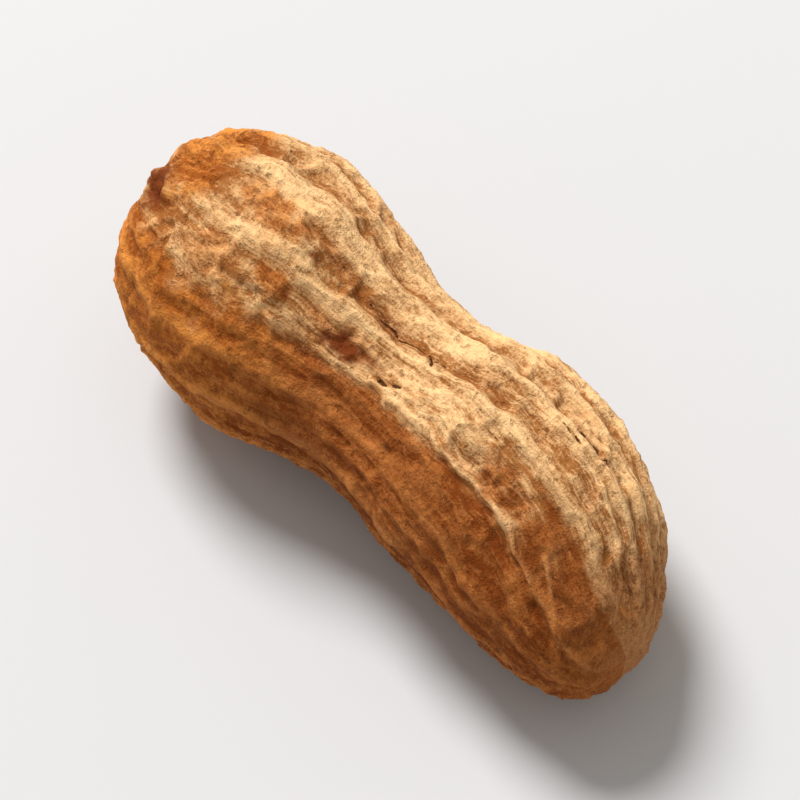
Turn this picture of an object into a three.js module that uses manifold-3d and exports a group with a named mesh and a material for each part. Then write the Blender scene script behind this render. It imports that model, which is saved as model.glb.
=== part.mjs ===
// A peanut in its shell, lying on its side: one dry pod with two swollen chambers and a waist between them.
// Long ribs run from the stem scar to the beak, and short cross veins join them into a net of shallow cells.
// Millimetres, +Z up. The stem end is at -X and the beak at +X. The origin is on the surface it rests on,
// under the middle of its box.

import * as THREE from "three";
import { mergeVertices } from "three/addons/utils/BufferGeometryUtils.js";
import Module from "manifold-3d";

// Driving dimensions. Each section is an ellipse: halfWidth is along Y and halfHeight along Z.
const LENGTH = 41;
const STEM_CHAMBER = { x: -10.5, halfWidth: 8.7, halfHeight: 8.1 };
const WAIST = { x: -0.8, halfWidth: 6.8, halfHeight: 6.3 };
const BEAK_CHAMBER = { x: 6.5, halfWidth: 7.85, halfHeight: 7.3 };
const STEM_END_SQUARENESS = 2.65; // superellipse powers of the two ends: 2 is round, more is blunter
const BEAK_END_SQUARENESS = 2.5;

// The long axis isn't straight. Each bend moves the sections past "from" by (y, z), more and more until "to":
// the beak chamber sits a little to +Y, the beak hooks back and droops, and the stem end lifts.
const BENDS = [
  { from: -8, to: 8, y: 1.1, z: 0 },
  { from: 7, to: 20.5, y: -1.7, z: 0 },
  { from: 14, to: 20.5, y: -0.9, z: -0.7 },
  { from: -13, to: -20.5, y: 0, z: 0.9 },
];

// Both chambers are flattened where they rest, and the net fades away round each of those flat spots.
const FLAT_DEPTH = 0.3;
const FLAT_REACH = { along: 5.2, across: 3.4 };
const FLAT_FADE = { from: 0.75, to: 1.5 }; // in reaches

// Ribs: where each one runs, as its angle about the long axis at six stations from the stem scar to the beak.
// Angles are in degrees, from +Y over the top to -Y and on round underneath.
const RIB_STATIONS = [
  { x: -20.5, angles: [5, 28, 54, 84, 112, 130, 156, 180, 206, 232, 258, 284, 310, 337] },
  { x: -10.5, angles: [3, 25, 48, 70, 99, 124, 150, 177, 203, 230, 257, 284, 311, 338] },
  { x: -0.8, angles: [3, 22, 43, 66, 96, 114, 143, 171, 199, 228, 257, 285, 313, 340] },
  { x: 6.5, angles: [8, 29, 50, 70, 94, 118, 148, 176, 203, 231, 258, 286, 314, 342] },
  { x: 13, angles: [8, 28, 47, 64, 90, 123, 156, 184, 210, 235, 261, 288, 315, 342] },
  { x: 20.5, angles: [4, 22, 40, 60, 92, 140, 166, 190, 214, 239, 264, 290, 316, 341] },
];
const RIB_SHARPNESS = 1.6;
const CELL_DEPTH = 0.5;
const VEIN = { spacing: 3.4, jitter: 0.7, halfWidth: 0.6, height: 0.65 }; // the height is a share of a rib's
const NET_FADE_SIZE = 6; // the net fades where the pod's half width falls below this, at its two ends

// The scar where the stem broke away is a dimple on the shoulder of the stem end: how far each point at its
// middle moves along the pod and in towards the axis.
const SCAR = { x: -18.9, angle: 115, radius: 1.6, along: 0.4, inward: 0.4 };

const RINGS = 52;
const SEGMENTS = 72;
const OUTLINE_SAMPLES = 240;

const RIB_COUNT = RIB_STATIONS[0].angles.length;
const halfLength = LENGTH / 2;
const { degToRad, euclideanModulo, lerp, smoothstep } = THREE.MathUtils;

// A repeatable number from 0 to 1 for a pair of whole numbers: the digits far down a large sine.
const SCATTER = { first: 127.1, second: 311.7, scale: 43758.5453 };
function scatter(i, j) {
  return euclideanModulo(Math.sin(i * SCATTER.first + j * SCATTER.second) * SCATTER.scale, 1);
}

// A swell that runs smoothly from one value to the next along the pod.
function swell(x, start, end, from, to) {
  return lerp(from, to, (1 - Math.cos(Math.PI * ((x - start) / (end - start)))) / 2);
}

// The share of its chamber's size that a section has on the way to an end.
function endTaper(x, chamber, end, squareness) {
  const way = Math.min(1, Math.abs((x - chamber.x) / (end - chamber.x)));
  return (1 - way ** squareness) ** (1 / squareness);
}

// Half the pod's size at x, along Y for "halfWidth" and along Z for "halfHeight".
function sectionSize(x, key) {
  if (x < STEM_CHAMBER.x) {
    return STEM_CHAMBER[key] * endTaper(x, STEM_CHAMBER, -halfLength, STEM_END_SQUARENESS);
  }
  if (x < WAIST.x) return swell(x, STEM_CHAMBER.x, WAIST.x, STEM_CHAMBER[key], WAIST[key]);
  if (x < BEAK_CHAMBER.x) return swell(x, WAIST.x, BEAK_CHAMBER.x, WAIST[key], BEAK_CHAMBER[key]);
  return BEAK_CHAMBER[key] * endTaper(x, BEAK_CHAMBER, halfLength, BEAK_END_SQUARENESS);
}

// The centre of the section at x: it follows the bends, and tilts so that both chambers touch the surface.
function sectionCentre(x) {
  const along = (x - STEM_CHAMBER.x) / (BEAK_CHAMBER.x - STEM_CHAMBER.x);
  const centre = { y: 0, z: lerp(STEM_CHAMBER.halfHeight, BEAK_CHAMBER.halfHeight, along) - FLAT_DEPTH };
  for (const bend of BENDS) {
    const away = smoothstep((x - bend.from) / (bend.to - bend.from), 0, 1);
    centre.y += bend.y * away;
    centre.z += bend.z * away;
  }
  return centre;
}

// A smooth curve through each rib's angles gives every rib's angle at any x.
const ribCurves = new THREE.CubicInterpolant(
  RIB_STATIONS.map((station) => station.x),
  RIB_STATIONS.flatMap((station) => station.angles),
  RIB_COUNT,
);

// How high the net stands at x and angle, from 0 at the bottom of a cell to 1 on a rib.
function netHeight(x, angle) {
  const ribs = ribCurves.evaluate(x);
  let strip = RIB_COUNT - 1; // the strip from the last rib round to the first
  while (strip >= 0 && ribs[strip] > angle) strip -= 1;
  const low = strip < 0 ? ribs[RIB_COUNT - 1] - 360 : ribs[strip];
  const high = strip === RIB_COUNT - 1 ? ribs[0] + 360 : ribs[strip + 1];
  const across = (angle - low) / (high - low);
  const rib = Math.abs(Math.cos(Math.PI * across)) ** RIB_SHARPNESS;

  const row = Math.round(x / VEIN.spacing);
  let vein = 0;
  for (const j of [row - 1, row, row + 1]) {
    const offset = VEIN.jitter * (scatter(euclideanModulo(strip, RIB_COUNT), j) - 0.5);
    const away = (x - (j + offset) * VEIN.spacing) / VEIN.halfWidth;
    vein = Math.max(vein, VEIN.height * Math.exp(-away * away));
  }
  return Math.max(rib, vein);
}

// 1 on most of the pod, falling to 0 on the two spots it rests on and at its two ends.
function reliefShare(point, size) {
  let share = Math.min(1, size / NET_FADE_SIZE);
  for (const chamber of [STEM_CHAMBER, BEAK_CHAMBER]) {
    const across = Math.hypot(point.y - sectionCentre(chamber.x).y, point.z) / FLAT_REACH.across;
    const along = (point.x - chamber.x) / FLAT_REACH.along;
    share *= smoothstep(Math.hypot(along, across), FLAT_FADE.from, FLAT_FADE.to);
  }
  return share;
}

// A point on the smooth pod, at x along it and at an angle in radians round its axis.
function smoothPoint(x, around) {
  const centre = sectionCentre(x);
  return new THREE.Vector3(
    x,
    centre.y + sectionSize(x, "halfWidth") * Math.cos(around),
    centre.z + sectionSize(x, "halfHeight") * Math.sin(around),
  );
}

const scarMiddle = smoothPoint(SCAR.x, degToRad(SCAR.angle));

// A point of the pod's surface, for a point of the plain turned body that it is shaped from.
function podPoint(turned, target) {
  const x = THREE.MathUtils.clamp(turned.y, -halfLength, halfLength);
  const around = Math.atan2(turned.x, turned.z);
  const point = smoothPoint(x, around);
  const angle = euclideanModulo(THREE.MathUtils.radToDeg(around), 360);
  const cell = CELL_DEPTH * (1 - netHeight(x, angle)) * reliefShare(point, sectionSize(x, "halfWidth"));
  const scar = Math.exp(-((point.distanceTo(scarMiddle) / SCAR.radius) ** 2));
  const inward = cell + SCAR.inward * scar;
  return target.set(
    x + SCAR.along * scar,
    point.y - inward * Math.cos(around),
    point.z - inward * Math.sin(around),
  );
}

// The plain body: the pod's outline turned about an axis, with its rings evenly spaced along the surface.
function turnedBody() {
  const outline = [];
  for (let i = 0; i <= OUTLINE_SAMPLES; i += 1) {
    const x = -halfLength * Math.cos((Math.PI * i) / OUTLINE_SAMPLES);
    outline.push(new THREE.Vector2(sectionSize(x, "halfWidth"), x));
  }
  const profile = new THREE.SplineCurve(outline).getSpacedPoints(RINGS);
  profile[0].set(0, -halfLength);
  profile[RINGS].set(0, halfLength);
  return new THREE.LatheGeometry(profile, SEGMENTS);
}

function podGeometry() {
  const geometry = turnedBody();
  const position = geometry.getAttribute("position");
  const turned = new THREE.Vector3();
  const shaped = new THREE.Vector3();
  for (let i = 0; i < position.count; i += 1) {
    podPoint(turned.fromBufferAttribute(position, i), shaped);
    position.setXYZ(i, shaped.x, shaped.y, shaped.z);
  }
  return geometry;
}

const wasm = await Module();
wasm.setup();

function solidOf(geometry) {
  geometry.deleteAttribute("normal");
  geometry.deleteAttribute("uv");
  const merged = mergeVertices(geometry, 1e-3);
  return new wasm.Manifold(
    new wasm.Mesh({
      numProp: 3,
      vertProperties: merged.getAttribute("position").array,
      triVerts: new Uint32Array(merged.index.array),
    }),
  );
}

function geometryOf(solid) {
  const mesh = solid.getMesh();
  return new THREE.BufferGeometry()
    .setAttribute("position", new THREE.BufferAttribute(mesh.vertProperties, 3))
    .setIndex(new THREE.BufferAttribute(mesh.triVerts, 1));
}

// Everything below the resting surface is cut away, which leaves the two flat spots.
function cutFlats(pod) {
  const slab = new THREE.BoxGeometry(2 * LENGTH, LENGTH, LENGTH).translate(0, 0, -halfLength);
  return pod.subtract(solidOf(slab));
}

function peanut() {
  const geometry = geometryOf(cutFlats(solidOf(podGeometry())));
  geometry.computeBoundingBox();
  const middle = geometry.boundingBox.getCenter(new THREE.Vector3());
  geometry.translate(-middle.x, -middle.y, 0);
  geometry.computeVertexNormals();
  const shell = new THREE.MeshStandardMaterial({ color: 0xc98f55, roughness: 0.85, metalness: 0 });
  const mesh = new THREE.Mesh(geometry, shell);
  mesh.name = "peanut_pod";
  return mesh;
}

const root = new THREE.Group();
root.add(peanut());

export default root;
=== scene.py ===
# A whole peanut in its shell, lying on its side on a pale table.
# The pod is box-modelled straight, smoothed, drawn to its true sections, carved and then bent.
# Sizes in the settings are millimetres and degrees. Along is +X from stem to beak, and angles run
# about the long axis from +Y over the top to -Y and on round underneath.

import math

import bmesh
import bpy
import numpy as np
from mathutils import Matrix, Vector, noise


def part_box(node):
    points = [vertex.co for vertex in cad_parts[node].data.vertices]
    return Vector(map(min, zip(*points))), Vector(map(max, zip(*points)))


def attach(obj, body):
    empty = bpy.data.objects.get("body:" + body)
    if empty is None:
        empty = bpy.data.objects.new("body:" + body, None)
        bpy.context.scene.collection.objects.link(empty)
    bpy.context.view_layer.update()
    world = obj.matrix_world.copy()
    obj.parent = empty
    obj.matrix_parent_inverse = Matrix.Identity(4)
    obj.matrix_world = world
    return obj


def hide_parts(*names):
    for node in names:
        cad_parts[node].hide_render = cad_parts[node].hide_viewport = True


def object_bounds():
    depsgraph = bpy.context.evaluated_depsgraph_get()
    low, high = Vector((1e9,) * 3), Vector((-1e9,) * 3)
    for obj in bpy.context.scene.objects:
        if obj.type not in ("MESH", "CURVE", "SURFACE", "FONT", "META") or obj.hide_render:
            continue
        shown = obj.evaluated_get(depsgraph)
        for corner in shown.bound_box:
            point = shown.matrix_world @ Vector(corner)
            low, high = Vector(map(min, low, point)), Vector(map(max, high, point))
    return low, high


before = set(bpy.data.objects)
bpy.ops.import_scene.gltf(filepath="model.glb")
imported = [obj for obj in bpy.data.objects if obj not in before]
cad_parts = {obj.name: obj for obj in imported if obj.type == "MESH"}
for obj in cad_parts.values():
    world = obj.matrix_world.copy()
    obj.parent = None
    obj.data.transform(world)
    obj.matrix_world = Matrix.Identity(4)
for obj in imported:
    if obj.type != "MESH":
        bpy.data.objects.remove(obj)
cadLow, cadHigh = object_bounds()
mm = 0.001


cameraSettings = {
    "azimuth": 47,
    "elevation": 57,
    "lens": 135,
    "sensor": 36,
    "across": 47,  # width of the view at the pod
    "clip": (0.01, 20),  # metres
}


def makeCamera(settings):
    turn, tilt = math.radians(settings["azimuth"]), math.radians(settings["elevation"])
    back = Vector((math.sin(turn) * math.cos(tilt), -math.cos(turn) * math.cos(tilt), math.sin(tilt)))
    distance = settings["across"] * mm * settings["lens"] / settings["sensor"]
    target = (cadLow + cadHigh) / 2
    bpy.ops.object.camera_add(location=target + back * distance)
    camera = bpy.context.object
    camera.rotation_euler = back.to_track_quat("Z", "Y").to_euler()
    camera.data.lens = settings["lens"]
    camera.data.sensor_width = settings["sensor"]
    camera.data.clip_start, camera.data.clip_end = settings["clip"]
    bpy.context.scene.camera = camera


makeCamera(cameraSettings)
print("camera made")


podBody = {
    "halfLength": 20.5,
    "stemChamber": {"along": -10.5, "halfWidth": 8.7, "halfHeight": 8.1},
    "waist": {"along": -0.8, "halfWidth": 6.8, "halfHeight": 6.3},
    "beakChamber": {"along": 6.5, "halfWidth": 7.85, "halfHeight": 7.3},
    "stemSquareness": 2.65,  # superellipse powers of the two ends
    "beakSquareness": 2.5,
    "bends": (  # each moves the pod across and up, more and more between two places along it
        {"start": -8, "end": 8, "by": (1.1, 0)},
        {"start": 7, "end": 20.5, "by": (-1.7, 0)},
        {"start": 14, "end": 20.5, "by": (-0.9, -0.7)},
        {"start": -13, "end": -20.5, "by": (0, 0.9)},
    ),
    "restDepth": 0.3,  # how far each chamber is flattened where it rests
    "sides": 10,
    "rings": (-19.6, -17.6, -13.6, -8.8, -3.8, 0.6, 5.2, 10.4, 15.4, 19.4),
    "plump": 1.1,  # smoothing pulls the cage in by this much
    "fineness": 5,
}


leastDivisor = 0.1  # nothing is divided by less than this
leastSize = 0.02  # millimetres


def smoothStep(value, start, end):
    share = np.clip((value - start) / (end - start), 0, 1)
    return share * share * (3 - 2 * share)


def sectionSize(along, key):
    stem, waist, beak = podBody["stemChamber"], podBody["waist"], podBody["beakChamber"]
    half = podBody["halfLength"]

    def swell(first, second):
        way = (along - first["along"]) / (second["along"] - first["along"])
        return first[key] + (second[key] - first[key]) * (1 - np.cos(np.pi * way)) / 2

    def taper(chamber, end, power):
        way = np.clip((along - chamber["along"]) / (end - chamber["along"]), 0, 1)
        return chamber[key] * (1 - way**power) ** (1 / power)

    return np.select(
        [along < stem["along"], along < waist["along"], along < beak["along"]],
        [taper(stem, -half, podBody["stemSquareness"]), swell(stem, waist), swell(waist, beak)],
        taper(beak, half, podBody["beakSquareness"]),
    )


# The caps are the cage's only faces with more than four corners. Side is -1 for the stem and 1 for the beak.
def selectCap(piece, side):
    mesh = bmesh.from_edit_mesh(piece.data)
    for face in mesh.faces:
        face.select_set(len(face.verts) > 4 and face.normal.x * side > 0)
    bmesh.update_edit_mesh(piece.data)


def modelCage():
    rings = podBody["rings"]
    sizes = [(sectionSize(np.array(r), "halfWidth") * podBody["plump"],
              sectionSize(np.array(r), "halfHeight") * podBody["plump"]) for r in rings]
    bpy.ops.object.select_all(action="DESELECT")
    bpy.ops.mesh.primitive_cylinder_add(
        vertices=podBody["sides"], radius=1 * mm, depth=(rings[1] - rings[0]) * mm,
        end_fill_type="NGON", rotation=(0, math.radians(90), 0),
        location=((rings[0] + rings[1]) / 2 * mm, 0, 0),
    )
    pod = bpy.context.object
    pod.name = "peanutPod"
    bpy.ops.object.transform_apply(location=True, rotation=True, scale=True)
    bpy.ops.object.mode_set(mode="EDIT")
    bpy.ops.mesh.select_mode(type="FACE")
    selectCap(pod, -1)  # 1 mm in radius until now
    bpy.ops.transform.resize(value=(1, *sizes[0]), center_override=(rings[0] * mm, 0, 0))
    selectCap(pod, 1)
    bpy.ops.transform.resize(value=(1, *sizes[1]), center_override=(rings[1] * mm, 0, 0))
    for i in range(2, len(rings)):
        step = (rings[i] - rings[i - 1]) * mm
        bpy.ops.mesh.extrude_region_move(TRANSFORM_OT_translate={"value": (step, 0, 0)})
        grow = (1, sizes[i][0] / sizes[i - 1][0], sizes[i][1] / sizes[i - 1][1])
        bpy.ops.transform.resize(value=grow, center_override=(rings[i] * mm, 0, 0))
    bpy.ops.object.mode_set(mode="OBJECT")
    bpy.ops.object.modifier_add(type="SUBSURF")
    smooth = pod.modifiers[-1]
    smooth.levels = podBody["fineness"]
    smooth.render_levels = podBody["fineness"]
    bpy.ops.object.modifier_apply(modifier=smooth.name)
    bpy.ops.object.shade_smooth()
    return pod


def readPoints(pod):
    places = np.empty(len(pod.data.vertices) * 3)
    pod.data.vertices.foreach_get("co", places)
    return places.reshape(-1, 3) / mm


def writePoints(pod, points):
    pod.data.vertices.foreach_set("co", (points * mm).ravel())
    pod.data.update()


def readNormals(pod):
    normals = np.empty(len(pod.data.vertices) * 3)
    pod.data.vertices.foreach_get("normal", normals)
    return normals.reshape(-1, 3)


# Every point slides straight out or in until it is on the pod's true section.
def drawToSections(points):
    along, across, up = points.T
    fitted = points.copy()
    loose = np.hypot(across / sectionSize(along, "halfWidth").clip(leastDivisor),
                     up / sectionSize(along, "halfHeight").clip(leastDivisor))
    fitted[:, 1:] /= loose.clip(leastDivisor)[:, None]
    ends = (("stemChamber", -1, podBody["stemSquareness"]), ("beakChamber", 1, podBody["beakSquareness"]))
    for name, side, power in ends:
        chamber = podBody[name]
        past = (along - chamber["along"]) * side > 0
        reach = podBody["halfLength"] - chamber["along"] * side
        way = np.abs(along[past] - chamber["along"]) / reach
        out = np.hypot(across[past] / chamber["halfWidth"], up[past] / chamber["halfHeight"])
        scale = (way**power + out**power) ** (-1 / power)
        fitted[past] = points[past] * scale[:, None]
        fitted[past, 0] = chamber["along"] + (along[past] - chamber["along"]) * scale
    return fitted


# The straight pod is bent, lifted onto its two chambers, and flattened where it rests.
def bendAndRest(points):
    along = points[:, 0]
    stem, beak, rest = podBody["stemChamber"], podBody["beakChamber"], podBody["restDepth"]
    bent = points.copy()
    for bend in podBody["bends"]:
        bent[:, 1:] += smoothStep(along, bend["start"], bend["end"])[:, None] * np.array(bend["by"])
    way = (along - stem["along"]) / (beak["along"] - stem["along"])
    bent[:, 2] += stem["halfHeight"] + way * (beak["halfHeight"] - stem["halfHeight"]) - rest
    bent[:, 2] = bent[:, 2].clip(0)
    return bent


# Ribs run from the stem scar to the beak. Each has its angle, height and half width at six stations.
ribs = {
    "stations": (-20.5, -10.5, -0.8, 6.5, 13, 20.5),
    "courses": (
        ((5, 3, 3, 8, 8, 4), (0.7, 1, 1, 1, 1, 0.7), (0.7, 0.8, 0.7, 0.7, 0.7, 0.5)),
        ((28, 25, 22, 29, 28, 22), (0.7, 0.95, 1, 1, 1, 0.7), (0.6, 0.8, 0.8, 0.7, 0.7, 0.5)),
        ((54, 47, 42, 50, 47, 40), (0.7, 0.95, 1, 1, 1, 0.7), (0.6, 0.9, 0.9, 0.7, 0.6, 0.5)),
        ((84, 68, 68, 71, 65, 60), (0.7, 1, 1, 0.9, 0.9, 0.7), (0.8, 1.5, 1.35, 0.7, 0.5, 0.5)),
        ((112, 100, 93, 92, 90.5, 92), (0.7, 0.75, 0.8, 0.95, 0.9, 0.6), (0.6, 0.8, 0.7, 0.6, 0.5, 0.5)),
        ((130, 125, 115, 119.5, 123, 146), (0.3, 0.3, 0.6, 0.7, 0.7, 0.4), (0.6, 0.6, 0.5, 0.36, 0.32, 0.3)),
        ((156, 150, 143, 147, 156, 168), (0.4, 0.6, 0.4, 0.4, 0.4, 0.4), (0.6, 0.7, 0.6, 0.5, 0.5, 0.5)),
        ((180, 177, 171, 174, 182, 192), (0.5, 0.8, 0.7, 0.7, 0.6, 0.5), (0.6, 0.7, 0.6, 0.6, 0.5, 0.5)),
        ((206, 203, 199, 203, 210, 216), (0.5, 0.8, 0.8, 0.8, 0.8, 0.5), (0.6, 0.7, 0.7, 0.6, 0.6, 0.5)),
        ((232, 230, 228, 231, 235, 240), (0.4, 0.7, 0.7, 0.7, 0.7, 0.4), (0.6, 0.7, 0.7, 0.7, 0.6, 0.5)),
        ((258, 257, 257, 258, 261, 264), (0.4, 0.8, 0.8, 0.8, 0.8, 0.4), (0.7, 0.8, 0.7, 0.7, 0.7, 0.5)),
        ((284, 284, 285, 286, 288, 290), (0.5, 0.9, 0.8, 0.9, 0.8, 0.5), (0.6, 0.7, 0.7, 0.7, 0.7, 0.5)),
        ((310, 311, 313, 314, 315, 316), (0.5, 0.8, 0.8, 0.8, 0.8, 0.5), (0.6, 0.7, 0.6, 0.6, 0.6, 0.5)),
        ((337, 338, 340, 342, 342, 341), (0.5, 1, 0.9, 1, 0.9, 0.5), (0.7, 0.8, 0.8, 0.8, 0.7, 0.5)),
    ),
    "borderRib": 5,  # counted from 0: the lower flank is smoother and browner from this rib down
    "tightest": 0.36,  # share of a strip that a rib may fill near the ends
    "roundUpTo": 0.6,  # ribs with a larger half width have flat tops
    "depth": 0.8,
    "flankDepth": 0.55,  # share of the depth that is left on the lower flank
    "valleyPower": 0.9,
    "swell": 0.3,  # ribs stand this far out of the smooth pod, so that cells don't sink too deep
}

# Cross veins join the ribs, and a weaker rib runs down the middle of each wide strip.
net = {
    "spacing": 2.5,
    "jitter": 0.8,
    "halfWidth": (0.24, 0.42),
    "strength": (0.1, 0.75),
    "slant": 0.8,
    "fill": 0.8,  # share of a cell's depth that the strongest vein takes up
    "flank": {"weaker": 0.7, "within": 8, "past": -4},
    "middle": {"height": 0.5, "halfWidth": 0.38, "wideStrip": (2.3, 3.3), "wobble": 0.25, "bendSize": 3.1,
               "usual": 0.55, "patchSize": 4.3},
    "filled": (  # places where the net nearly fills the valley
        {"place": (3.8, 106), "size": (6, 2), "share": 0.85},
        {"place": (-12, 120), "size": (3, 1.8), "share": 0.6},
        {"place": (-10.5, 87), "size": (5, 1.8), "share": 0.6},
        {"place": (-7.6, 110), "size": (3, 1.5), "share": 0.6},
        {"place": (10.5, 81), "size": (4, 1.6), "share": 0.6},
    ),
}

# Ribs and lips that start and stop on the way, and valleys of their own, as points of (along, angle).
shortLines = {
    "ribs": (
        {"course": ((5, 81), (7.3, 78.5), (8.3, 76.5), (10, 74), (12, 72), (15, 72), (17.4, 75)),
         "wide": 0.3, "by": 0.3},
        {"course": ((6, 61), (8.6, 57.5), (11.5, 56), (13.5, 54), (16, 50)), "wide": 0.3, "by": 0.25},
        {"course": ((15, 116), (16.6, 126), (17.6, 133)), "wide": 0.18, "by": 0.14},
        {"course": ((8, 118), (9.3, 109)), "wide": 0.16, "by": 0.12},
        {"course": ((9.5, 120), (10.8, 108)), "wide": 0.15, "by": 0.12},
        {"course": ((11.1, 120), (12.3, 111)), "wide": 0.14, "by": 0.1},
        {"course": ((0, 115), (0.8, 114.5), (1.6, 112)), "wide": 0.2, "by": 0.2},
        {"course": ((-4.8, 99.5), (-3, 103), (-1.2, 103.5), (0.4, 106)), "wide": 0.22, "by": 0.16},
    ),
    "troughs": (
        {"course": ((-9, 80), (-7.6, 79.5), (-5.8, 80.5), (-4.2, 82), (-2.8, 83), (-1, 85.5)),
         "wide": 0.42, "by": 0.34, "brown": 0.55},
        {"course": ((5.4, 84), (7.3, 84.5), (9.3, 83.5), (11.8, 80.5), (13, 79.5), (14.6, 78)),
         "wide": 0.55, "by": 0.26, "brown": 0.1},
        {"course": ((-6, 105.5), (-4.7, 105.5), (-3, 108)), "wide": 0.5, "by": 0.2, "brown": 0.5},
        {"course": ((6, 66), (9, 62.5), (12, 61)), "wide": 0.35, "by": 0.15, "brown": 0.3},
    ),
    "ridge": 0.85,  # how pale these ribs are, where a main rib is 1
    "fill": 0.8,
    "swerve": 0.4,  # share of the ribs' swerve that these lines follow
}

skin = {
    "lumps": {"size": 6.5, "by": 0.34},
    "shoulder": {"place": (-15.5, 58), "size": (4.5, 6), "by": 0.4},  # the stem end is fuller on this side
    "dents": {"size": 1.9, "by": 0.22},
    "grit": {"size": 0.5, "by": 0.075},
    "cells": {"size": 1.25, "edge": 0.2, "by": 0.17, "least": 0.6, "usual": 0.65, "patchSize": 3.4,
              "faintest": 0.15},
    "wrinkles": {"size": (3.4, 0.7, 0.7), "by": 0.16},
    "pits": {"size": 1.05, "by": 0.17, "radius": (0.36, 0.1), "share": 0.5, "usual": 0.5, "patchSize": 3.7},
    "lengthen": (0.5, 1, 1),  # dents and cells are twice as long as wide
    "calmer": {"grit": 0.3, "wrinkles": 0.6, "pits": 0.8},  # how much of each the smooth places lose
    "warp": {"size": 2.6, "along": 0.7, "around": 3.4},
    "flowRadius": 7.5,
}

# The husk is smooth on the lower flank and on the beak's side. Fades are the two radii of the pod between
# which something grows from nothing to its full strength.
zones = {
    "flankFrom": (1, 14),  # degrees past the border rib
    "flankEnd": (168, 200),
    "beakSide": {"along": (11, 15), "angle": (90, 100)},
    "ribsFade": (1, 7.2),
    "swellFade": (0, 3),
    "polarFade": (0.4, 3.5),  # for what runs along the pod and would be pinched at its ends
    "steadyRadius": 6,
    "rest": {"along": 4.5, "across": 2.8, "fade": (0.7, 1.5)},  # this fade is in shares of the spot's size
}

# Cracks follow points of (along, angle). Stains and browned patches sit at one point.
marks = {
    "cracks": (
        {"course": ((-3.6, 80.5), (-2.2, 82.5), (-0.8, 84), (0.6, 85.6), (1.6, 86.8)),
         "wide": 0.05, "by": 0.12},
        {"course": ((1.6, 86.8), (2.3, 85)), "wide": 0.05, "by": 0.1},
        {"course": ((1.6, 86.8), (2, 89.5)), "wide": 0.06, "by": 0.1},
        {"course": ((9.2, 60), (10.4, 60.2), (12.1, 59), (13.3, 58.5), (14.3, 56.5)),
         "wide": 0.08, "by": 0.2},
        {"course": ((9.8, 71.4), (11.4, 69.8)), "wide": 0.05, "by": 0.1},
        {"course": ((13.9, 41.5), (14.7, 39)), "wide": 0.1, "by": 0.25},
        {"course": ((7.4, 99), (8.2, 98.6)), "wide": 0.06, "by": 0.1},
        {"course": ((0.15, 112), (0.7, 112.6)), "wide": 0.11, "by": 0.3},
        {"course": ((1.15, 110.8), (1.45, 109.6)), "wide": 0.09, "by": 0.25},
        {"course": ((-9, 214), (-6.5, 212), (-4.4, 215)), "wide": 0.06, "by": 0.15},
        {"course": ((3, 305), (5.6, 303), (8.4, 306)), "wide": 0.06, "by": 0.15},
        {"course": ((-6.6, 288), (-5.8, 289.5)), "wide": 0.1, "by": 0.3},
    ),
    "groove": 0.13,  # the least half width that a crack is carved with
    "lip": {"away": 0.38, "wide": 0.2, "by": 0.07},
    "reach": 6,  # a crack's gap is kept up to this many of its half widths
    "crooked": {"size": 0.9, "along": 0.2, "around": 1.8},
    "blotch": {"size": 0.9, "usual": 0.5, "least": 0.7, "more": 0.6},  # stains spread unevenly
    "stains": (
        {"place": (-3, 110), "size": (1.5, 1), "strength": 1},
        {"place": (-1.2, 108), "size": (1.2, 0.6), "strength": 0.5},
        {"place": (-9.3, 82), "size": (0.45, 0.35), "strength": 0.8},
        {"place": (-7.5, 88), "size": (0.5, 0.35), "strength": 0.8},
        {"place": (-7.1, 108), "size": (0.4, 0.35), "strength": 0.6},
        {"place": (5.5, 250), "size": (2.2, 1.3), "strength": 0.6},
        {"place": (-13, 318), "size": (1.4, 1), "strength": 0.5},
    ),
    "browned": (
        {"place": (-9.3, 83), "size": (1.2, 0.7), "strength": 0.55},
        {"place": (-11.7, 88), "size": (2.8, 1.4), "strength": 0.65},
        # this patch browns and darkens the whole stem end
        {"place": (-17.5, 82), "size": (3.2, 6), "strength": 0.9},
        {"place": (-12.5, 119), "size": (2.6, 1.6), "strength": 0.4},
        {"place": (-8, 109), "size": (1.5, 0.9), "strength": 0.8},
        {"place": (-2.6, 106), "size": (2.4, 0.8), "strength": 0.6},
        {"place": (10.4, 112), "size": (2.6, 1.4), "strength": 0.8},
    ),
    "stainEdge": (0.25, 0.85),
    "toastedEdge": (0.2, 0.8),
    "scarEdge": (0.15, 0.6),
    "bleached": {"place": (4, 105), "size": (4.6, 1.7), "ridge": 0.8},
    # the knob is raised and painted pale on top, a painted highlight
    "knob": {"place": (-17.2, 77.5), "size": (0.5, 0.5), "by": 0.6},
    "scar": {"place": (-18.9, 115), "radius": 1.6, "along": 0.4, "inward": 0.4, "rim": 0.22, "rimWide": 0.4},
}

# The lower flank is browned, partly as the husk's own toasted colour and partly as painted shade and warm
# bounced light. It starts below its own rib, with a border that is more ragged at the stem end.
toastAndShade = {
    "plain": 0.2,  # 0 is bleached husk and 1 is toasted
    # the border sets the browned lower flank, which is partly painted shade and warm bounced light
    "border": {"below": 4, "size": 2.2, "ragged": 5, "moreRagged": 10, "along": (-3, -9), "upper": 0.9},
    "underside": {"size": 4.1, "ragged": 14, "angle": (238, 272)},
    # near the stem pole the browning is held at this level, so the stem end is browner and darker
    "stemPole": {"brown": 0.45, "radius": (1, 5.5)},
    "tip": {"size": 2.4, "ragged": 1.5, "along": (15.6, 18.6), "brown": 0.55},
    "side": {"size": 2, "ragged": 1.4, "along": (11.6, 13.6), "angle": (94, 101), "until": 250, "brown": 0.9},
    "poleRidge": 0.45,  # how pale the ends are, where the ribs have died out
    "poleNet": 0.5,
}

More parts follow.
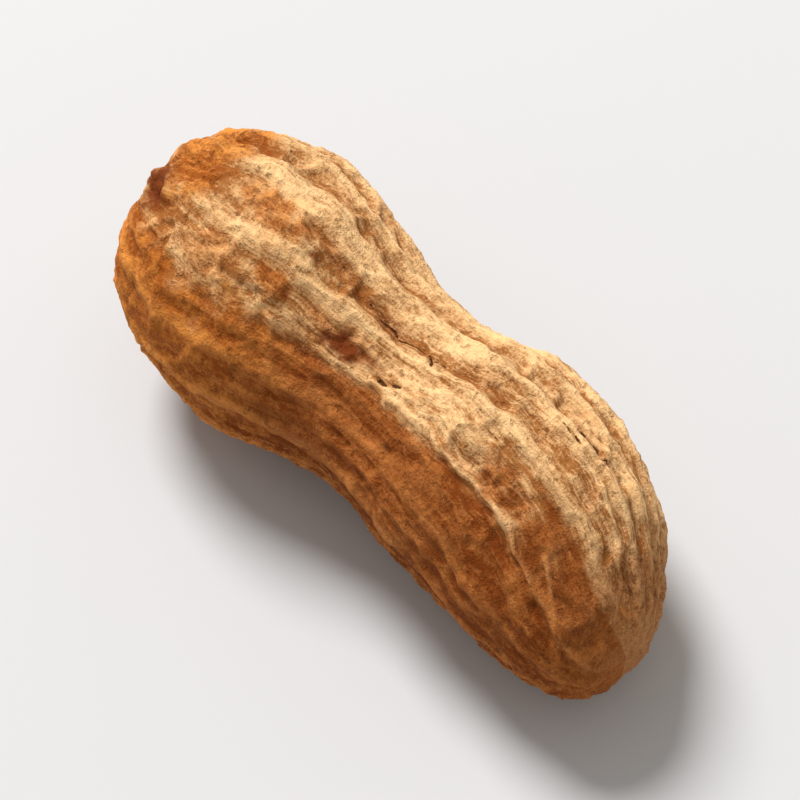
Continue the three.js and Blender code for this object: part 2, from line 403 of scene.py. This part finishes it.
# Each use of a noise takes another shift, which moves it by so many of these strides.
noiseStride = (17.3, 5.1, 9.7)
cellStride = (11.9, 3.7, 7.3)
ownerStride = (7, 5)  # keeps the numbers of neighbouring cells apart
scatterBy = (127.1, 311.7, 43758.5453)  # the digits far down a large sine
patchContrast = 0.9
stripStride = 31  # keeps the numbers of one vein apart


# Repeatable numbers from 0 to 1 for pairs of numbers.
def scatter(first, second):
    return np.mod(np.sin(first * scatterBy[0] + second * scatterBy[1]) * scatterBy[2], 1)


def noiseField(points, size, octaves, shift):
    offset = Vector([shift * part for part in noiseStride])
    return np.array([noise.fractal(Vector(p) / size + offset, 1, 2, octaves) for p in points])


# Patches in which something shows more or less than usual.
def patchField(points, usual, size, octaves, shift):
    return usual + patchContrast * noiseField(points, size, octaves, shift)


# Distances to the nearest two of some scattered points, and a number that belongs to the nearest.
def cellField(points, size, shift):
    offset = Vector([shift * part for part in cellStride])
    found = [noise.voronoi(Vector(p) / size + offset) for p in points]
    near = np.array([f[0][:2] for f in found]) * size
    owner = np.round(np.array([f[1][0][:2] for f in found]), 3) * ownerStride
    return near[:, 0], near[:, 1], scatter(owner[:, 0], owner[:, 1])


# A smooth curve through values at the ribs' stations: a column of them for each rib.
def curveThrough(values, along):
    stations = np.array(ribs["stations"], float)
    slopes = np.gradient(values, stations, axis=0)
    which = np.clip(np.searchsorted(stations, along) - 1, 0, len(stations) - 2)
    gap = (stations[which + 1] - stations[which])[:, None]
    t = np.clip((along - stations[which])[:, None] / gap, 0, 1)
    start, end = values[which], values[which + 1]
    lean = t * (1 - t) ** 2 * slopes[which] + t * t * (t - 1) * slopes[which + 1]
    return start + (end - start) * t * t * (3 - 2 * t) + gap * lean


# Distance in millimetres over the surface from each point to a course of (along, angle) points.
def distanceToCourse(course, along, angle, radius):
    nearest = np.full(len(along), 1e3)
    for (x0, a0), (x1, a1) in zip(course, course[1:]):
        dx, da = x1 - x0, np.radians(a1 - a0) * radius
        px, pa = along - x0, np.radians(angle - a0) * radius
        t = np.clip((px * dx + pa * da) / (dx * dx + da * da).clip(1e-6), 0, 1)
        nearest = np.minimum(nearest, np.hypot(px - t * dx, pa - t * da))
    return nearest


# 1 at the middle of a spot, falling away round it. A spot's place is (along, angle), its size millimetres.
def spotShare(spot, along, angle, radius):
    turn = np.mod(angle - spot["place"][1] + 180, 360) - 180
    alongShare = -((along - spot["place"][0]) / spot["size"][0]) ** 2
    return np.exp(alongShare - (np.radians(turn) * radius / spot["size"][1]) ** 2)


# 1 where the gap is 0, falling away smoothly as it widens.
def hill(gap, wide):
    return np.exp(-((gap / wide) ** 2))


# Everything that the carving knows about each point of the straight, smooth pod.
class Surface:
    def __init__(self, points, normals):
        self.points = points
        self.normals = normals
        self.along, self.across, self.up = points.T
        width = sectionSize(self.along, "halfWidth").clip(leastSize)
        height = sectionSize(self.along, "halfHeight").clip(leastSize)
        self.radius = (width + height) / 2
        self.angle = np.mod(np.degrees(np.arctan2(self.up / height, self.across / width)), 360)
        self.steady = (self.radius / zones["steadyRadius"]).clip(0, 1)
        self.brown = np.zeros(len(points))
        self.stain = np.zeros(len(points))
        self.warp(skin["warp"])
        self.stray(marks["crooked"])

    # whatever runs along the pod is warped a little, so that nothing is dead straight
    def warp(self, by):
        self.warpAlong = self.along + by["along"] * noiseField(self.points, by["size"], 2, 1)
        self.swerve = by["around"] * self.steady * noiseField(self.points, by["size"], 2, 2)
        self.warpAngle = np.mod(self.angle + self.swerve, 360)

    # cracks and stains stray by more, over shorter distances
    def stray(self, by):
        self.strayAlong = self.along + by["along"] * noiseField(self.points, by["size"], 2, 8)
        self.strayAngle = self.angle + by["around"] * noiseField(self.points, by["size"], 2, 15)
        blotch = marks["blotch"]
        patches = patchField(self.points, blotch["usual"], blotch["size"], 3, 9)
        self.spread = blotch["least"] + blotch["more"] * patches

    def straySpot(self, spot, edge):
        share = spotShare(spot, self.strayAlong, self.strayAngle, self.radius)
        return self.blot(share, edge)

    def blot(self, share, edge):
        return smoothStep(share * self.spread, *edge)

    def steadySpot(self, spot):
        return spotShare(spot, self.along, self.angle, self.radius)


# Finds the strip between two ribs that each point is in, and how deep in its valley the point lies.
def layRibs(here):
    courses, heights, widths = (
        curveThrough(np.array([rib[which] for rib in ribs["courses"]], float).T, here.warpAlong)
        for which in range(3)
    )
    heights = heights.clip(0, 1)
    count = courses.shape[1]
    rows = np.arange(len(here.along))
    strip = (courses <= here.warpAngle[:, None]).sum(1) - 1
    low = np.where(strip < 0, courses[:, -1] - 360, courses[rows, strip])
    high = np.where(strip == count - 1, courses[:, 0] + 360, courses[rows, (strip + 1) % count])
    here.border = courses[:, ribs["borderRib"]]
    here.way = (here.warpAngle - low) / (high - low)
    here.turn = 2 * np.pi * (strip + here.way) / count
    here.stripWidth = np.radians(high - low) * here.radius
    here.strip = strip % count
    here.valley = np.ones(len(here.along))
    sides = ((here.strip, here.way), ((strip + 1) % count, 1 - here.way))
    for which, share in sides:
        gap = share * here.stripWidth
        own = widths[rows, which]
        reach = np.minimum(own, ribs["tightest"] * here.stripWidth).clip(leastSize)
        flatTop = 2 + 2 * (own - ribs["roundUpTo"]).clip(0)
        here.valley *= 1 - heights[rows, which] * np.exp(-((gap / reach) ** flatTop))
    here.ridge = 1 - here.valley


def layNet(here):
    for fill in net["filled"]:
        here.valley *= 1 - fill["share"] * here.steadySpot(fill)
    row = np.floor(here.warpAlong / net["spacing"])
    veins = np.zeros(len(here.along))
    for ahead in (-1, 0, 1, 2):
        luck = [scatter(here.strip + stripStride * turn, row + ahead) for turn in range(4)]
        centre = (row + ahead + net["jitter"] * (luck[0] - 0.5)) * net["spacing"]
        lean = net["slant"] * 2 * (luck[1] - 0.5) * (here.way - 0.5) * here.stripWidth
        thick = net["halfWidth"][0] + luck[2] * (net["halfWidth"][1] - net["halfWidth"][0])
        strong = net["strength"][0] + luck[3] * (net["strength"][1] - net["strength"][0])
        veins = np.maximum(veins, strong * hill(here.warpAlong - centre - lean, thick))
    flank = net["flank"]
    onFlank = smoothStep(here.warpAngle, here.border, here.border + flank["within"])
    veins *= here.steady * (1 - flank["weaker"] * onFlank * (here.along > flank["past"]))
    middle = net["middle"]
    wobble = middle["wobble"] * noiseField(here.points, middle["bendSize"], 2, 3)
    middleRib = hill((here.way - 0.5 - wobble) * here.stripWidth, middle["halfWidth"])
    middleRib *= middle["height"] * smoothStep(here.stripWidth, *middle["wideStrip"])
    middleRib *= patchField(here.points, middle["usual"], middle["patchSize"], 1, 4).clip(0, 1)
    here.valley *= (1 - net["fill"] * veins) * (1 - middleRib)


def startRelief(here):
    beak = zones["beakSide"]
    end = 1 - smoothStep(here.warpAngle, *zones["flankEnd"])
    start, full = zones["flankFrom"]
    flank = smoothStep(here.warpAngle, here.border + start, here.border + full) * end
    beakSide = smoothStep(here.along, *beak["along"]) * smoothStep(here.warpAngle, *beak["angle"]) * end
    here.smooth = np.maximum(flank, beakSide)
    here.fade = smoothStep(here.radius, *zones["ribsFade"])
    here.polar = smoothStep(here.radius, *zones["polarFade"])
    depth = ribs["depth"] * (1 - (1 - ribs["flankDepth"]) * flank)
    here.relief = ribs["swell"] * smoothStep(here.radius, *zones["swellFade"])
    here.relief -= depth * here.fade * here.valley ** ribs["valleyPower"]


def addShortLines(here):
    angle = here.angle + shortLines["swerve"] * here.swerve
    for rib in shortLines["ribs"]:
        share = hill(distanceToCourse(rib["course"], here.along, angle, here.radius), rib["wide"])
        here.relief += rib["by"] * share
        here.ridge = np.maximum(here.ridge, shortLines["ridge"] * share)
        here.valley *= 1 - shortLines["fill"] * share
    for trough in shortLines["troughs"]:
        share = hill(distanceToCourse(trough["course"], here.along, angle, here.radius), trough["wide"])
        here.relief -= trough["by"] * share
        here.ridge *= 1 - share
        here.brown = np.maximum(here.brown, trough["brown"] * share)


def roughenSkin(here):
    cells, pits, calmer, shoulder = skin["cells"], skin["pits"], skin["calmer"], skin["shoulder"]
    coarse = 1 - calmer["grit"] * here.smooth
    spread = skin["flowRadius"] * (1 - (1 - here.radius / skin["flowRadius"]).clip(0) ** 2)
    here.flow = np.stack([here.warpAlong, spread * np.cos(here.turn), spread * np.sin(here.turn)], 1)
    stretched = here.flow * skin["lengthen"]

    here.relief += shoulder["by"] * here.steadySpot(shoulder)
    here.relief += skin["lumps"]["by"] * noiseField(here.points, skin["lumps"]["size"], 2, 5)
    here.relief += skin["dents"]["by"] * here.polar * noiseField(stretched, skin["dents"]["size"], 3, 6)
    here.relief += skin["grit"]["by"] * coarse * noiseField(here.points, skin["grit"]["size"], 3, 12)
    wrinkles = noiseField(here.flow / skin["wrinkles"]["size"], 1, 3, 13)
    here.relief += skin["wrinkles"]["by"] * here.fade * (1 - calmer["wrinkles"] * here.smooth) * wrinkles

    first, second, luck = cellField(stretched, cells["size"], 1)
    smallNet = hill(second - first, cells["edge"])
    patchy = patchField(here.points, cells["usual"], cells["patchSize"], 2, 14).clip(cells["faintest"], 1)
    deep = 1 - (1 - cells["least"]) * luck
    here.relief -= cells["by"] * here.polar * (1 - smallNet) * patchy * coarse * deep
    here.smallNet = smallNet * patchy * here.fade

    first, second, luck = cellField(here.points, pits["size"], 2)
    here.pits = smoothStep(first, *pits["radius"]) * (luck < pits["share"])
    here.pits *= patchField(here.points, pits["usual"], pits["patchSize"], 2, 7).clip(0, 1)
    here.pits *= 1 - calmer["pits"] * here.smooth
    here.relief -= pits["by"] * here.pits


def openCracks(here):
    lip = marks["lip"]
    here.crackGap = np.ones(len(here.along))
    for crack in marks["cracks"]:
        gap = distanceToCourse(crack["course"], here.strayAlong, here.strayAngle, here.radius)
        here.relief -= crack["by"] * hill(gap, max(crack["wide"], marks["groove"]))
        here.relief += lip["by"] * hill(gap - lip["away"], lip["wide"])
        here.crackGap = np.minimum(here.crackGap, gap / (marks["reach"] * crack["wide"]))


def addSpots(here):
    for spot in marks["stains"]:
        here.stain = np.maximum(here.stain, spot["strength"] * here.straySpot(spot, marks["stainEdge"]))
    for spot in marks["browned"]:
        here.brown = np.maximum(here.brown, spot["strength"] * here.straySpot(spot, marks["toastedEdge"]))
    knob = here.steadySpot(marks["knob"])
    here.relief += marks["knob"]["by"] * knob
    # the knob takes the pale rib colour as a painted highlight
    here.ridge = np.maximum(here.ridge, knob)


# Nothing is carved where the pod rests.
def spareRests(here):
    rest = zones["rest"]
    for name in ("stemChamber", "beakChamber"):
        along = (here.along - podBody[name]["along"]) / rest["along"]
        gap = np.hypot(along, here.across / rest["across"])
        here.relief *= 1 - (1 - smoothStep(gap, *rest["fade"])) * (here.up < 0)


# The stem scar is a crater with a low rim.
def sinkScar(here, carved):
    scar = marks["scar"]
    along, angle = np.array(scar["place"][0]), np.radians(scar["place"][1])
    across = sectionSize(along, "halfWidth") * np.cos(angle)
    up = sectionSize(along, "halfHeight") * np.sin(angle)
    gap = np.linalg.norm(here.points - (along, across, up), axis=1)
    crater = hill(gap, scar["radius"])
    around = np.radians(here.angle)
    outward = np.stack([0 * around, np.cos(around), np.sin(around)], 1)
    carved += crater[:, None] * ((scar["along"], 0, 0) - scar["inward"] * outward)
    carved += here.normals * scar["rim"] * hill(gap - scar["radius"], scar["rimWide"])[:, None]
    here.stain = np.maximum(here.stain, here.blot(crater, marks["scarEdge"]))


# Browns the husk. On the lower flank this browning is partly the husk's own colour and partly painted shade
# and warm bounced light.
def toastAndShadeHusk(here):
    border, underside, pole, tip, side = (
        toastAndShade[name] for name in ("border", "underside", "stemPole", "tip", "side")
    )
    ragged = border["ragged"] + border["moreRagged"] * smoothStep(here.along, *border["along"])
    line = here.border + border["below"] + ragged * noiseField(here.points, border["size"], 4, 10)
    below = smoothStep(here.warpAngle, line - border["upper"] * ragged, line + ragged)
    under = here.warpAngle + underside["ragged"] * noiseField(here.points, underside["size"], 3, 11)
    below *= 1 - smoothStep(under, *underside["angle"])
    below += (pole["brown"] - below) * (1 - smoothStep(here.radius, *pole["radius"])) * (here.along < 0)
    tipAlong = here.along + tip["ragged"] * noiseField(here.points, tip["size"], 2, 16)
    sideAlong = here.along + side["ragged"] * noiseField(here.points, side["size"], 2, 17)
    onSide = smoothStep(sideAlong, *side["along"]) * smoothStep(here.warpAngle, *side["angle"])
    here.brown = np.maximum.reduce([
        here.brown,
        below,
        tip["brown"] * smoothStep(tipAlong, *tip["along"]),
        side["brown"] * onSide * (here.warpAngle < side["until"]),
    ])
    pale = here.steadySpot(marks["bleached"])
    plain = toastAndShade["plain"]
    here.brown = plain + (1 - plain) * here.brown - plain * pale
    here.ridge = np.maximum(here.ridge, marks["bleached"]["ridge"] * pale)


def carvePod(pod):
    points = drawToSections(readPoints(pod))
    writePoints(pod, points)
    here = Surface(points, readNormals(pod))
    for step in (layRibs, layNet, startRelief, addShortLines, roughenSkin, openCracks, addSpots, spareRests):
        step(here)
    carved = here.points + here.normals * here.relief[:, None]
    sinkScar(here, carved)
    writePoints(pod, bendAndRest(carved))

    toastAndShadeHusk(here)
    poleRidge, poleNet = toastAndShade["poleRidge"], toastAndShade["poleNet"]
    ridge = poleRidge + (here.ridge - poleRidge) * here.fade
    netHeight = poleNet + (1 - here.valley - poleNet) * here.fade
    smooth = np.maximum(here.smooth, 1 - here.fade)
    addColour(pod, "husk", ridge, here.pits, here.brown, netHeight)
    addColour(pod, "marks", here.crackGap, here.stain, here.smallNet, smooth)
    addVector(pod, "flow", here.flow)


def addColour(pod, name, *channels):
    layer = pod.data.attributes.new(name, "FLOAT_COLOR", "POINT")
    layer.data.foreach_set("color", np.stack(channels, 1).clip(0, 1).astype(np.float32).ravel())


def addVector(pod, name, values):
    layer = pod.data.attributes.new(name, "FLOAT_VECTOR", "POINT")
    layer.data.foreach_set("vector", values.astype(np.float32).ravel())


# The finished pod is set into its node's box, which it already fills to within a fraction of a millimetre.
def fitToBox(pod, node):
    low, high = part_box(node)
    points = readPoints(pod) * mm
    ownLow, ownHigh = points.min(0), points.max(0)
    scale = (np.array(high) - np.array(low)) / (ownHigh - ownLow)
    writePoints(pod, ((points - ownLow) * scale + np.array(low)) / mm)
    print("pod scaled by", [round(float(s), 4) for s in scale])


pod = modelCage()
print("cage modelled and smoothed:", len(pod.data.polygons), "faces")
carvePod(pod)
fitToBox(pod, "peanut_pod")
print("ribs, net, skin and marks carved")


class Wire:
    def __init__(self, maker, socket):
        self.maker = maker
        self.socket = socket

    def __add__(self, other):
        return self.maker.math("ADD", self, other)

    def __sub__(self, other):
        return self.maker.math("SUBTRACT", self, other)

    def __rsub__(self, other):
        return self.maker.math("SUBTRACT", other, self)

    def __mul__(self, other):
        return self.maker.math("MULTIPLY", self, other)

    __radd__ = __add__
    __rmul__ = __mul__


class Finish:
    def __init__(self, name):
        self.material = bpy.data.materials.new(name)
        self.material.use_nodes = True
        self.tree = self.material.node_tree
        self.shader = self.tree.nodes["Principled BSDF"]

    # any node: its settings first, then its sockets' values or links; out names the output wanted
    def node(self, kind, settings=None, sockets=None, out=0):
        made = self.tree.nodes.new(kind)
        for key, value in (settings or {}).items():
            setattr(made, key, value)
        for key, value in (sockets or {}).items():
            self.feed(made.inputs[key], value)
        return Wire(self, made.outputs[out])

    def feed(self, socket, value):
        if isinstance(value, Wire):
            self.tree.links.new(value.socket, socket)
        elif socket.type == "RGBA":
            socket.default_value = (*value, 1)
        else:
            socket.default_value = value

    def attribute(self, name, out):
        return self.node("ShaderNodeAttribute", {"attribute_name": name}, {}, out=out)

    def math(self, operation, first, second=0, clamp=False):
        settings = {"operation": operation, "use_clamp": clamp}
        return self.node("ShaderNodeMath", settings, {0: first, 1: second})

    def clamp(self, value):
        return self.math("ADD", value, 0, clamp=True)

    def mix(self, share, first, second, blend="MIX"):
        settings = {"data_type": "RGBA", "blend_type": blend, "clamp_factor": True}
        return self.node("ShaderNodeMix", settings, {0: share, 6: first, 7: second}, out=2)

    def stretch(self, vector, scale):
        return self.node("ShaderNodeVectorMath", {"operation": "MULTIPLY"}, {0: vector, 1: scale})

    def noise(self, vector, scale, detail, roughness):
        sockets = {"Vector": vector, "Scale": scale, "Detail": detail, "Roughness": roughness}
        return self.node("ShaderNodeTexNoise", {}, sockets)

    def remap(self, value, start, end, low=0, high=1):
        sockets = {0: value, 1: start, 2: end, 3: low, 4: high}
        return self.node("ShaderNodeMapRange", {"clamp": True}, sockets)

    def parts(self, colour):
        made = self.node("ShaderNodeSeparateColor", {}, {0: colour})
        return [Wire(self, output) for output in made.socket.node.outputs]


husk = {
    # the cell colours are darker than the rib colours: partly the husk's own colour, partly painted shade in
    # the hollows
    "paleRib": (0.96, 0.605, 0.285),
    "paleCell": (0.36, 0.13, 0.03),
    # the browns are more saturated than the husk's own colour, as painted warm bounce light in the shade
    "brownRib": (0.76, 0.285, 0.055),
    "brownCell": (0.28, 0.062, 0.003),
    "beakTint": (0.7, 0.66, 0.8),  # the toasted side is darker towards the beak
    "beakward": (-10, -3),
    # painted shade for the cracks
    "crackTone": (0.11, 0.036, 0.01),
    "stainTone": (0.16, 0.028, 0.002),
    "fibreTone": (0.93, 0.63, 0.31),
    "speckTone": (0.28, 0.095, 0.02),
    # noises: scale per millimetre, detail, roughness
    "grain": (2.6, 4, 0.65),
    "fineGrain": (7, 3, 0.65),
    "patches": (0.42, 3, 0.5),
    "speckle": (1.7, 4, 0.65),
    # noises that follow the flow of the ribs: how they are stretched, detail, roughness
    "mottle": ((0.5, 1, 1), 3, 0.6),
    "fibres": ((0.34, 3, 3), 4, 0.6),
    "threads": ((0.8, 8, 8), 3, 0.6),
    "paleness": {"net": 0.38, "ridge": 0.44, "smallNet": 0.3, "smooth": 0.12, "plain": -0.04},
    "strands": {"fibres": 1.6, "threads": 1.2, "onSmooth": 0.65, "stem": 0.6},
    "grains": {"mottle": 1.3, "grain": 1.1, "fine": 0.9, "rough": 1.45, "onSmooth": 0.4},
    "browning": {"brown": 1.4, "plain": -0.31, "patches": 0.7, "mottle": 0.9, "grain": 0.9},
    "glints": {"threads": (0.57, 0.7), "grain": (0.42, 0.66), "share": 0.5, "less": 0.2},
    "specks": {"edge": (0.6, 0.68), "share": 0.55, "onSmooth": 0.25, "onRidge": 0.3},
    "pits": 0.55,
    "stain": 0.95,
    "crack": {"ragged": 1.2, "edge": (1.25, 0.7)},
    "lift": {"grain": 0.6, "fine": 0.4, "fibres": 0.45, "threads": 0.25, "onSmooth": 0.6, "specks": 0.45,
             "cracks": 0.5},
    "roughness": {"fibres": 0.5, "of": (0.5, 1.1), "to": (0.7, 0.95)},
    "specular": 0.12,
    "bumpHeight": 0.27 * mm,
    "bumpStrength": 0.9,
}


# A noise from 0 to 1, swinging by an amount about 0.
def swing(noiseValue, by):
    return (noiseValue - 0.5) * by


def makeHuskFinish():
    finish = Finish("peanutHusk")
    place = finish.node("ShaderNodeTexCoord", {}, {}, out="Object")
    place = finish.stretch(place, (1 / mm,) * 3)
    flow = finish.attribute("flow", "Vector")
    netHeight = finish.attribute("husk", "Alpha")
    ridge, pits, brown = finish.parts(finish.attribute("husk", "Color"))
    smooth = finish.attribute("marks", "Alpha")
    crackGap, stain, smallNet = finish.parts(finish.attribute("marks", "Color"))

    grain = finish.noise(place, *husk["grain"])
    fine = finish.noise(place, *husk["fineGrain"])
    patches = finish.noise(place, *husk["patches"])
    speckle = finish.noise(place, *husk["speckle"])
    mottle, fibres, threads = (
        finish.noise(finish.stretch(flow, stretch), 1, *fineness)
        for stretch, *fineness in (husk["mottle"], husk["fibres"], husk["threads"])
    )
    beakward = finish.remap(finish.node("ShaderNodeSeparateXYZ", {}, {0: place}), *husk["beakward"])

    # how pale the husk is: paler on ribs and net and darker in the cells and valleys between them, partly the
    # husk's own colour and partly painted shade in the hollows; broken up by fibres and grain
    share = husk["paleness"]
    height = netHeight * share["net"] + ridge * share["ridge"] + smallNet * share["smallNet"] + share["plain"]
    share = husk["strands"]
    strands = swing(fibres, share["fibres"]) + swing(threads, share["threads"])
    strands = strands * (1 - smooth * share["onSmooth"]) * (share["stem"] + beakward * (1 - share["stem"]))
    share = husk["grains"]
    grains = swing(mottle, share["mottle"]) + swing(grain, share["grain"]) + swing(fine, share["fine"])
    grains = grains * (share["rough"] - smooth * share["onSmooth"])
    height = finish.clamp(height + strands + grains + smooth * husk["paleness"]["smooth"])

    # plain husk and browned husk, whose browns hold painted shade and warm bounced light as well as the
    # husk's own toasted colour
    pale = finish.mix(height, husk["paleCell"], husk["paleRib"])
    browned = finish.mix(height, husk["brownCell"], husk["brownRib"])
    browned = finish.mix(beakward, browned, husk["beakTint"], "MULTIPLY")
    share = husk["browning"]
    browning = brown * share["brown"] + share["plain"] + swing(patches, share["patches"])
    browning = finish.clamp(browning + swing(mottle, share["mottle"]) + swing(grain, share["grain"]))
    colour = finish.mix(browning, pale, browned)

    # pale fibres, specks, pits, stains and cracks; the crack lines are painted shade, and the pits are
    # darkened partly with painted shade
    share = husk["glints"]
    glints = finish.remap(threads, *share["threads"]) * finish.remap(grain, *share["grain"])
    glints = glints * (share["share"] - smooth * share["less"] - browning * share["less"])
    colour = finish.mix(glints, colour, husk["fibreTone"])
    share = husk["specks"]
    specks = finish.remap(speckle, *share["edge"])
    speckShare = share["share"] - smooth * share["onSmooth"] - ridge * share["onRidge"]
    colour = finish.mix(specks * speckShare, colour, husk["speckTone"])
    # pits take the speck colour, partly their own dark colour and partly painted shade in the pit
    colour = finish.mix(pits * husk["pits"], colour, husk["speckTone"])
    colour = finish.mix(stain * husk["stain"], colour, husk["stainTone"])
    # cracks are painted dark: painted shade in gaps too narrow for the mesh
    crack = husk["crack"]
    dark = finish.remap(crackGap * marks["reach"] + swing(fine, crack["ragged"]), *crack["edge"])
    colour = finish.mix(dark, colour, husk["crackTone"])

    share = husk["lift"]
    lift = fibres * share["fibres"] + threads * share["threads"]
    lift = grain * share["grain"] + fine * share["fine"] + lift * (1 - smooth * share["onSmooth"])
    lift = lift - specks * share["specks"] - dark * share["cracks"]
    bump = finish.node("ShaderNodeBump", {}, {
        "Strength": husk["bumpStrength"], "Distance": husk["bumpHeight"], "Height": lift})
    share = husk["roughness"]
    roughness = finish.remap(grain + fibres * share["fibres"], *share["of"], *share["to"])
    finish.feed(finish.shader.inputs["Base Color"], colour)
    finish.feed(finish.shader.inputs["Roughness"], roughness)
    finish.feed(finish.shader.inputs["Normal"], bump)
    finish.shader.inputs["Specular IOR Level"].default_value = husk["specular"]
    return finish.material


pod.data.materials.clear()
pod.data.materials.append(makeHuskFinish())
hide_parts("peanut_pod")
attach(pod, "root")
print("husk finished")


studio = {  # sizes here are metres
    "table": {"size": 6, "tone": (0.6, 0.6, 0.605), "roughness": 0.9, "below": 0.02 * mm},
    "key": {"towards": (-0.62, 0.14, 0.774), "distance": 1.2, "size": 0.48, "power": 18.5},
    "sky": {"tone": (1, 0.96, 0.91), "strength": 0.46},
}


def makeTable(settings):
    bpy.ops.object.select_all(action="DESELECT")
    bpy.ops.mesh.primitive_plane_add(size=settings["size"], location=(0, 0, -settings["below"]))
    table = bpy.context.object
    table.name = "paleTable"
    finish = Finish("paleTable")
    finish.feed(finish.shader.inputs["Base Color"], settings["tone"])
    finish.feed(finish.shader.inputs["Roughness"], settings["roughness"])
    table.data.materials.append(finish.material)


def makeKey(settings):
    towards = Vector(settings["towards"]).normalized()
    middle = (cadLow + cadHigh) / 2
    bpy.ops.object.light_add(type="AREA", location=middle + towards * settings["distance"])
    key = bpy.context.object
    key.rotation_euler = towards.to_track_quat("Z", "Y").to_euler()
    key.data.shape = "DISK"
    key.data.size = settings["size"]
    key.data.energy = settings["power"]


def makeSky(settings):
    world = bpy.data.worlds.new("softSky")
    world.use_nodes = True
    background = world.node_tree.nodes["Background"]
    background.inputs["Color"].default_value = (*settings["tone"], 1)
    background.inputs["Strength"].default_value = settings["strength"]
    bpy.context.scene.world = world


makeTable(studio["table"])
makeKey(studio["key"])
makeSky(studio["sky"])
bpy.context.scene.view_settings.view_transform = "Standard"
print("table, light and sky made")
